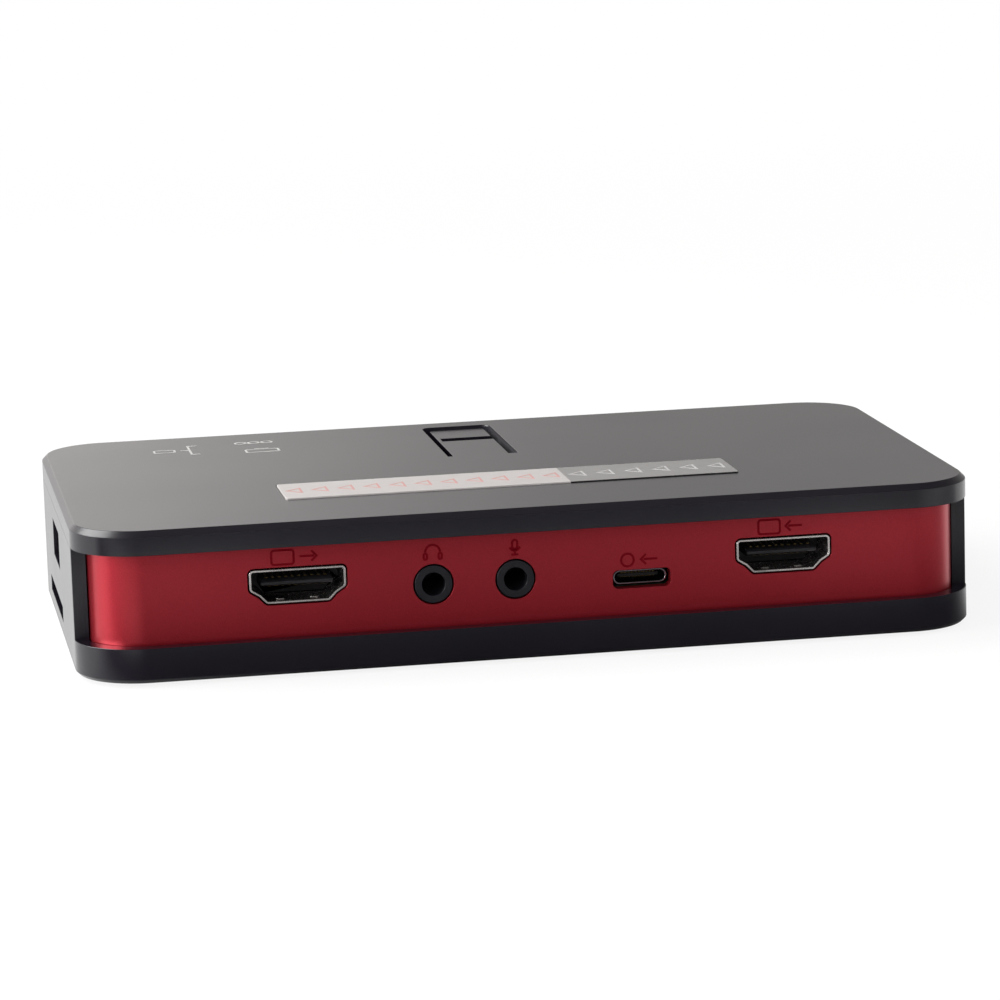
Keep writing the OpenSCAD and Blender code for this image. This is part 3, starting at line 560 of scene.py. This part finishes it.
def soften(node, width):
    """Rounds the sharp edges of a CAD node with modifiers; its mesh stays as it is."""
    piece = NODES[node]
    weld = piece.modifiers.new("weld", "WELD")
    weld.merge_threshold = 0.002 * MM
    flat = piece.modifiers.new("flat_faces", "DECIMATE")
    flat.decimate_type = "DISSOLVE"
    flat.angle_limit = math.radians(0.4)
    bevel = piece.modifiers.new("soft_edges", "BEVEL")
    bevel.width = width
    bevel.segments = 2
    bevel.limit_method = "ANGLE"
    bevel.angle_limit = math.radians(25)
    bevel.use_clamp_overlap = False
    piece.modifiers.new("even_normals", "WEIGHTED_NORMAL")


def finish_group(nodes, material, width):
    """Gives CAD nodes one finish and soft edges."""
    for node in nodes:
        dress(node, material)
        soften(node, width)


def ribbon(bm, path, half, lay, closed=False):
    """Adds a flat line of a mark along a path of 2-D points; lay puts a point and a height in place."""
    sharpest = 0.4
    count = len(path)
    rings = []
    for i, point in enumerate(path):
        before = path[i - 1] if i > 0 or closed else None
        after = path[(i + 1) % count] if i < count - 1 or closed else None
        steps = [Vector(b) - Vector(a) for a, b in ((before, point), (point, after)) if a and b]
        normals = [Vector((-s.y, s.x)).normalized() for s in steps]
        mitre = sum(normals, Vector((0, 0))).normalized()
        mitre *= half / max(mitre.dot(normals[0]), sharpest)
        left, right = Vector(point) + mitre, Vector(point) - mitre
        rings.append([bm.verts.new(lay(p, h)) for p, h in ((left, 0), (right, 0), (right, 1), (left, 1))])
    pairs = list(zip(rings, rings[1:])) + ([(rings[-1], rings[0])] if closed else [])
    for first, second in pairs:
        for k in range(4):
            bm.faces.new((first[k], first[(k + 1) % 4], second[(k + 1) % 4], second[k]))
    if not closed:
        bm.faces.new(rings[0])
        bm.faces.new(rings[-1])


def mark_piece(name, strokes, lay, half, material, body="case"):
    """One piece made of the strokes of a mark; a stroke is a path and whether it closes."""
    bm = bmesh.new()
    for path, closed in strokes:
        ribbon(bm, path, half, lay, closed)
    bmesh.ops.recalc_face_normals(bm, faces=bm.faces)
    mesh = bpy.data.meshes.new(name)
    bm.to_mesh(mesh)
    bm.free()
    mesh.materials.append(material)
    piece = bpy.data.objects.new(name, mesh)
    bpy.context.scene.collection.objects.link(piece)
    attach(piece, body)


# Signs, drawn in millimetres


def arc(centre, radius, start, end, steps=12):
    """Points on an arc, angles in degrees."""
    turns = [math.radians(start + (end - start) * i / steps) for i in range(steps + 1)]
    return [(centre[0] + radius * math.cos(t), centre[1] + radius * math.sin(t)) for t in turns]


def line(*points):
    """An open stroke."""
    return list(points), False


def ring(x, y, radius, steps=16):
    """A round closed stroke."""
    return arc((x, y), radius, 0, 360 - 360 / steps, steps - 1), True


def round_box(x, y, width, height, radius):
    """A closed stroke round a box with round corners."""
    path = []
    for i, (side, rise) in enumerate(((1, 1), (-1, 1), (-1, -1), (1, -1))):
        centre = (x + side * (width / 2 - radius), y + rise * (height / 2 - radius))
        path += arc(centre, radius, 90 * i, 90 * i + 90, steps=4)
    return path, True


def arrow(x, y, way):
    """An arrow that points to the right where way is 1 and to the left where it is -1."""
    reach, barb, gap = 1.3, 0.8, 0.42
    tip = x + way * reach
    back = tip - way * barb
    neck = tip - way * gap
    return [line((x - way * reach, y), (neck, y)), line((back, y + barb), (tip, y), (back, y - barb))]


def screen(x, y):
    """A plain screen."""
    return round_box(x, y, width=3.4, height=2.2, radius=0.4)


def video_sign(way):
    """A screen and an arrow, which points out of the box where way is 1 and into it where it is -1."""
    screen_x, arrow_x = -2.2, 1.7
    return [screen(screen_x, 0), *arrow(arrow_x, 0, way)]


def flat_sign():
    """A ring and an arrow into the box."""
    ring_x, arrow_x = -2.2, 1.2
    return [ring(ring_x, 0, radius=1.0), *arrow(arrow_x, 0, -1)]


def headphones():
    """A band over two cups."""
    reach, band_y, cup_y = 1.15, 0.04, -0.6
    cups = [round_box(side * reach, cup_y, width=0.5, height=0.9, radius=0.2) for side in (-1, 1)]
    return [(arc((0, band_y), reach, 0, 180), False), *cups]


def microphone():
    """A capsule in a cradle on a stand."""
    capsule = round_box(0, 0.45, width=0.8, height=1.4, radius=0.39)
    cradle = arc((0, 0.35), radius=0.85, start=200, end=340), False
    stem = line((0, -0.68), (0, -0.94))
    foot = line((-0.55, -1.12), (0.55, -1.12))
    return [capsule, cradle, stem, foot]


def lid_signs():
    """A bracket that joins one screen to a row of plugs and to a display with a bar over it."""
    left, right, near, far = -45.9, -44.4, 23.7, 31.8
    middle = (near + far) / 2
    screen_x, display_x = left - 4.2, -34.2
    plug_places = (-37.0, -34.8, -32.6)
    bar_half, bar_y = 1.2, near + 1.9
    bracket = line((right, far), (left, far), (left, near), (right, near))
    stem = line((left - 1.5, middle), (left - 0.18, middle))
    plugs = [ring(x, far, radius=0.9) for x in plug_places]
    display = round_box(display_x, near, width=5.4, height=2.6, radius=0.3)
    bar = line((display_x - bar_half, bar_y), (display_x + bar_half, bar_y))
    return [bracket, stem, screen(screen_x, middle), *plugs, display, bar]


def arrowheads(start, end, y, count):
    """A row of outlined arrowheads that point to the left."""
    nose, tail, half = 1.2, 1.0, 1.9
    pitch = (end - start) / count
    places = [start + pitch * (i + 0.5) for i in range(count)]
    return [([(x - nose, y), (x + tail, y - half), (x + tail, y + half)], True) for x in places]


def upright(x, z, proud):
    """Puts the points of a sign on the port panel."""
    return lambda point, height: (
        x + point[0] * MM, PANEL_FRONT + proud * (1 - 2 * height), z + point[1] * MM
    )


def level(top, proud):
    """Puts the points of a sign on a level face."""
    return lambda point, height: (point[0] * MM, point[1] * MM, top - proud * (1 - 2 * height))


# Stage

SENSOR_WIDTH = 36.0
CLIP_START = 0.01

# Borders on the floor in metres, each from its outer to its inner place; only gloss sees them
LEFT_BORDER = (-0.036, -0.018)
LEFT_SLANT = 0.2
RIGHT_SIDE = (0.0, 0.05)
RIGHT_BORDER = (-0.045, 0.0)
RIGHT_FAR = (0.08, 0.14)
CORNER_X = ((-0.060, -0.076), (-0.140, -0.118))
CORNER_Y = ((-0.130, -0.104), (-0.058, -0.076))
STRIP_Y = ((-0.146, -0.118), (-0.080, -0.105))
STRIP_LEFT = ((-0.025, -0.045), (-0.070, -0.056))
STRIP_RIGHT = ((0.045, 0.065), (0.090, 0.072))
FRONT_FADE = (-0.055, -0.10)

# How far from the part the floor's shadow fades to white, in metres
SHADOW_FADE = (0.16, 0.8)

# Borders in the studio, as the parts of a direction
BEHIND_Y = (-0.1, 0.7)
LOW_Z = (0.15, 0.7)
BEHIND_LEFT_X = (0.20, -0.02)
LEFT_X = (-0.3, -0.9)

# Soft boxes: name, place, size, power in watts, and whether gloss shows the box
LAMPS = (
    ("key_box", (-0.62, 0.30, 0.72), (0.58, 0.58), 7.0, True),
    ("left_box", (-0.95, -0.15, 0.35), (0.9, 0.6), 12.0, True),
    ("front_box", (-0.20, -1.10, 0.62), (1.0, 0.6), 5.0, False),
    ("right_box", (0.95, -0.2, 0.5), (0.7, 0.6), 4.0, False),
)
LAMP_AIM = Vector((0, 0, 0.012))


def make_camera(scene, stage):
    """The camera at the photograph's place; its axes come from its yaw, pitch and roll."""
    yaw, pitch, roll = stage.yaw, stage.pitch, stage.roll
    ahead = Vector((math.sin(yaw) * math.cos(pitch), math.cos(yaw) * math.cos(pitch), -math.sin(pitch)))
    side = Vector((math.cos(yaw), -math.sin(yaw), 0))
    down = ahead.cross(side)
    right = math.cos(roll) * side - math.sin(roll) * down
    up = -(math.sin(roll) * side + math.cos(roll) * down)
    data = bpy.data.cameras.new("camera")
    data.sensor_width = SENSOR_WIDTH
    data.lens = stage.focal
    data.clip_start = CLIP_START
    camera = bpy.data.objects.new("camera", data)
    facing = Matrix((right, up, -ahead)).transposed().to_4x4()
    camera.matrix_world = Matrix.Translation(Vector(stage.camera_place)) @ facing
    scene.collection.objects.link(camera)
    scene.camera = camera


def floor_in_gloss(sheet, place, stage):
    """How bright gloss sees the floor: white beside and behind the part, dim in front with a paler strip."""
    x, y, _ = sheet.axes(place)
    on_left = (y - x * LEFT_SLANT).between(*LEFT_BORDER)
    on_right = x.between(*RIGHT_SIDE) * y.between(*RIGHT_BORDER)
    far_right = x.between(*RIGHT_FAR) * stage.right_gloss
    corner = x.inside(*CORNER_X) * y.inside(*CORNER_Y) * stage.corner_gloss
    bright = on_left.larger(on_right).larger(far_right).larger(corner)
    ends = x.inside(*STRIP_LEFT) + x.inside(*STRIP_RIGHT)
    strip = y.inside(*STRIP_Y) * (stage.strip_gloss + ends * stage.end_gloss)
    front = stage.front_gloss * y.between(*FRONT_FADE, stage.near_share, 1.0) + strip
    return front + (1 - front) * bright


def make_floor(stage):
    """A white floor whose glow leaves room for the shadow; gloss sees it dimmer in front of the part."""
    half = stage.floor_size / 2
    mesh = bpy.data.meshes.new("floor")
    corners = [(-half, -half, 0), (half, -half, 0), (half, half, 0), (-half, half, 0)]
    mesh.from_pydata(corners, [], [(0, 1, 2, 3)])
    material, sheet = new_finish("floor")
    place = sheet.place()
    direct, glossy = sheet.rays()
    far = sheet.node("ShaderNodeVectorMath", {"operation": "LENGTH"}, {0: place}, output="Value")
    glow = far.between(*SHADOW_FADE, stage.floor_glow, 1.0)
    lit = sheet.node("ShaderNodeBsdfDiffuse", {}, {"Color": colour([stage.floor_tone] * 3)})
    dim = sheet.node("ShaderNodeBsdfDiffuse", {}, {"Color": 1 - glow})
    shine = sheet.node("ShaderNodeEmission", {}, {"Color": glow, "Strength": 1.0})
    seen = sheet.node("ShaderNodeAddShader", {}, {0: dim, 1: shine})
    mirrored = floor_in_gloss(sheet, place, stage)
    in_gloss = sheet.node("ShaderNodeEmission", {}, {"Color": mirrored, "Strength": 1.0})
    shader = sheet.node("ShaderNodeMixShader", {}, {0: direct, 1: lit, 2: seen})
    shader = sheet.node("ShaderNodeMixShader", {}, {0: glossy, 1: shader, 2: in_gloss})
    sheet.node("ShaderNodeOutputMaterial", {}, {"Surface": shader})
    mesh.materials.append(material)
    floor = bpy.data.objects.new("floor", mesh)
    floor.location.z = -stage.floor_drop
    bpy.context.scene.collection.objects.link(floor)


def make_world(scene, stage):
    """A white studio: bright behind and to the left, darker overhead, in front and to the right."""
    world = bpy.data.worlds.new("studio")
    world.use_nodes = True
    scene.world = world
    sheet = NodeSheet(world.node_tree)
    x, y, z = sheet.axes(sheet.node("ShaderNodeTexCoord", output="Generated"))
    behind = y.between(*BEHIND_Y)
    low = z.between(*LOW_Z, 1.0, 0.0)
    sweep = stage.behind + x.between(*BEHIND_LEFT_X) * stage.behind_left
    side = x.between(*LEFT_X) * low * stage.left
    brightness = stage.studio + behind * low * sweep + (1 - behind) * side
    direct, _ = sheet.rays()
    tone = sheet.mix(direct, sheet.stretched(brightness, stage.warmth), WHITE)
    shader = sheet.node("ShaderNodeBackground", {}, {"Color": tone, "Strength": 1.0})
    sheet.node("ShaderNodeOutputWorld", {}, {"Surface": shader})


def make_lamps(scene):
    """Soft boxes: two on the left, which gloss shows, and two fills that it does not."""
    for name, place, size, power, in_gloss in LAMPS:
        data = bpy.data.lights.new(name, "AREA")
        data.shape = "RECTANGLE"
        data.size, data.size_y = size
        data.energy = power
        lamp = bpy.data.objects.new(name, data)
        lamp.location = place
        lamp.rotation_euler = (LAMP_AIM - Vector(place)).to_track_quat("-Z", "Y").to_euler()
        lamp.visible_glossy = in_gloss
        scene.collection.objects.link(lamp)


# Operators


class CAPTURE_OT_stage(bpy.types.Operator):
    """Make the camera, the floor and the light."""

    bl_idname = "capture_box.stage"
    bl_label = "Stage"

    def execute(self, context):
        stage = context.scene.capture_stage
        context.scene.view_settings.view_transform = "Standard"
        make_camera(context.scene, stage)
        make_floor(stage)
        make_world(context.scene, stage)
        make_lamps(context.scene)
        return {"FINISHED"}


class CAPTURE_OT_case(bpy.types.Operator):
    """Finish the two shells and the record key."""

    bl_idname = "capture_box.case"
    bl_label = "Case"

    def execute(self, context):
        case = context.scene.capture_case
        finish_group(("lower_shell", "record_key"), case_plastic("case_plastic", case), case.edge)
        finish_group(("upper_shell",), case_plastic("lid_plastic", case, dulled=True), case.edge)
        return {"FINISHED"}


class CAPTURE_OT_panels(bpy.types.Operator):
    """Finish the red panels along the port side and the user side."""

    bl_idname = "capture_box.panels"
    bl_label = "Panels"

    def execute(self, context):
        panels = context.scene.capture_panels
        finish_group(("port_panel", "user_panel"), panel_plastic(panels), panels.edge)
        return {"FINISHED"}


class CAPTURE_OT_label(bpy.types.Operator):
    """Finish the two-tone film of the label strip."""

    bl_idname = "capture_box.label"
    bl_label = "Label strip"

    def execute(self, context):
        label = context.scene.capture_label
        finish_group(("label_strip",), label_foil(label), label.edge)
        return {"FINISHED"}


class CAPTURE_OT_sockets(bpy.types.Operator):
    """Finish the shells, inserts and contacts of the sockets and jacks."""

    bl_idname = "capture_box.sockets"
    bl_label = "Sockets"

    def execute(self, context):
        sockets = context.scene.capture_sockets
        finishes = {
            "socket_metal": plated_metal("socket_metal", sockets.plated, roughness=0.26, streak=0.12 * MM),
            # Painted shade: the contacts use the darkened gold.
            "contact_brass": plated_metal("contact_brass", sockets.gold_in_shade, roughness=0.22, streak=0.08 * MM),
            "socket_plastic": plain_moulding(
                "socket_plastic", sockets.insert, deep_share=0.7,
                roughness=0.42, grain_size=0.2 * MM, grain_depth=0.004 * MM,
            ),
            "jack_plastic": plain_moulding(
                "jack_plastic", sockets.jack, deep_share=0.8,
                roughness=0.36, grain_size=0.2 * MM, grain_depth=0.003 * MM,
            ),
        }
        for node, slot in SLOTS.items():
            if slot in finishes:
                dress(node, finishes[slot])
                if slot != "contact_brass":
                    soften(node, sockets.edge)
        # Painted shade: the recessed flat socket's shell gets a darkened copy of the plated metal.
        shaded_plating = plated_metal("shaded_plating", sockets.shaded_plated, roughness=0.24, streak=0.12 * MM)
        dress("av_in_shell", shaded_plating)
        return {"FINISHED"}


class CAPTURE_OT_fixings(bpy.types.Operator):
    """Finish the feet and the screws."""

    bl_idname = "capture_box.fixings"
    bl_label = "Feet and screws"

    def execute(self, context):
        sockets = context.scene.capture_sockets
        steel = plated_metal("screw_steel", sockets.steel, roughness=0.34, streak=0.1 * MM)
        rubber = plain_moulding(
            "foot_rubber", sockets.rubber, deep_share=0.7,
            roughness=0.75, grain_size=0.35 * MM, grain_depth=0.02 * MM,
        )
        for node in ("case_screws", "board_screws"):
            dress(node, steel)
        finish_group(("rubber_feet",), rubber, sockets.edge)
        return {"FINISHED"}


class CAPTURE_OT_board(bpy.types.Operator):
    """Finish the board and what stands on it."""

    bl_idname = "capture_box.board"
    bl_label = "Board"

    def execute(self, context):
        sockets = context.scene.capture_sockets
        finishes = {
            "board_laminate": board_laminate(context.scene.capture_board),
            "chip_epoxy": plain_moulding(
                "chip_epoxy", sockets.epoxy, deep_share=0.8,
                roughness=0.55, grain_size=0.15 * MM, grain_depth=0.004 * MM,
            ),
            "sink_aluminium": plated_metal(
                "sink_aluminium", sockets.aluminium, roughness=0.38, streak=0.2 * MM
            ),
        }
        for node, slot in SLOTS.items():
            if slot in finishes:
                dress(node, finishes[slot])
        return {"FINISHED"}


class CAPTURE_OT_marks(bpy.types.Operator):
    """Print generic signs over the sockets, on the lid and on the label."""

    bl_idname = "capture_box.marks"
    bl_label = "Signs"

    def execute(self, context):
        marks = context.scene.capture_marks
        half = marks.stroke / 2 / MM
        flake = context.scene.capture_panels.flake_share
        panel_ink = print_ink("panel_ink", marks.panel_deep, marks.panel_pale, flake, marks.panel_gloss)
        signs = {
            "video_out_shell": (video_sign(1), marks.video_height),
            "video_in_shell": (video_sign(-1), marks.video_height),
            "line_out_jack": (headphones(), marks.jack_height),
            "mic_jack": (microphone(), marks.jack_height),
            "av_in_shell": (flat_sign(), marks.flat_height),
        }
        for node, (strokes, height) in signs.items():
            low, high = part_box(node)
            lay = upright((low[0] + high[0]) / 2, height, marks.proud)
            mark_piece(node + "_sign", strokes, lay, half, panel_ink)
        lid_ink = print_ink("lid_ink", marks.lid_deep, marks.lid_pale)
        mark_piece("lid_signs", lid_signs(), level(LID_TOP, marks.proud), half, lid_ink)
        split = context.scene.capture_label.split / MM
        film_y = (LABEL_LOW[1] + LABEL_HIGH[1]) / 2 / MM
        on_film = level(LABEL_HIGH[2], marks.proud)
        red_ink = print_ink("silver_arrowheads", marks.red_deep, marks.red_pale)
        light_ink = print_ink("grey_arrowheads", marks.light_deep, marks.light_pale)
        on_silver = arrowheads(LABEL_LOW[0] / MM, split, film_y, marks.silver_count)
        on_grey = arrowheads(split, LABEL_HIGH[0] / MM, film_y, marks.grey_count)
        mark_piece("silver_arrowheads", on_silver, on_film, half, red_ink)
        mark_piece("grey_arrowheads", on_grey, on_film, half, light_ink)
        return {"FINISHED"}


class CAPTURE_PT_panel(bpy.types.Panel):
    """Lists the settings and the steps."""

    bl_idname = "CAPTURE_PT_panel"
    bl_label = "Capture Box"
    bl_space_type = "VIEW_3D"
    bl_region_type = "UI"
    bl_category = "Capture Box"

    def draw(self, context):
        for step in STEPS:
            self.layout.operator(step.bl_idname)
        for name, group in GROUPS.items():
            box = self.layout.box()
            box.label(text=group.__doc__)
            for setting in group.__annotations__:
                box.prop(getattr(context.scene, name), setting)


GROUPS = {
    "capture_case": CaseSettings,
    "capture_panels": PanelSettings,
    "capture_label": LabelSettings,
    "capture_board": BoardSettings,
    "capture_sockets": SocketSettings,
    "capture_marks": MarkSettings,
    "capture_stage": StageSettings,
}
STEPS = (
    CAPTURE_OT_stage,
    CAPTURE_OT_case,
    CAPTURE_OT_panels,
    CAPTURE_OT_label,
    CAPTURE_OT_sockets,
    CAPTURE_OT_fixings,
    CAPTURE_OT_board,
    CAPTURE_OT_marks,
)


def register():
    """Adds the classes and their settings to Blender."""
    for made in (*GROUPS.values(), *STEPS, CAPTURE_PT_panel):
        bpy.utils.register_class(made)
    for name, group in GROUPS.items():
        setattr(bpy.types.Scene, name, PointerProperty(type=group))


def unregister():
    """Takes the settings and the classes away again."""
    for name in GROUPS:
        delattr(bpy.types.Scene, name)
    for made in (CAPTURE_PT_panel, *reversed(STEPS), *reversed(GROUPS.values())):
        bpy.utils.unregister_class(made)


def main():
    """Runs every step in order."""
    register()
    for step in STEPS:
        family, name = step.bl_idname.split(".")
        getattr(getattr(bpy.ops, family), name)()


if __name__ == "__main__":
    main()
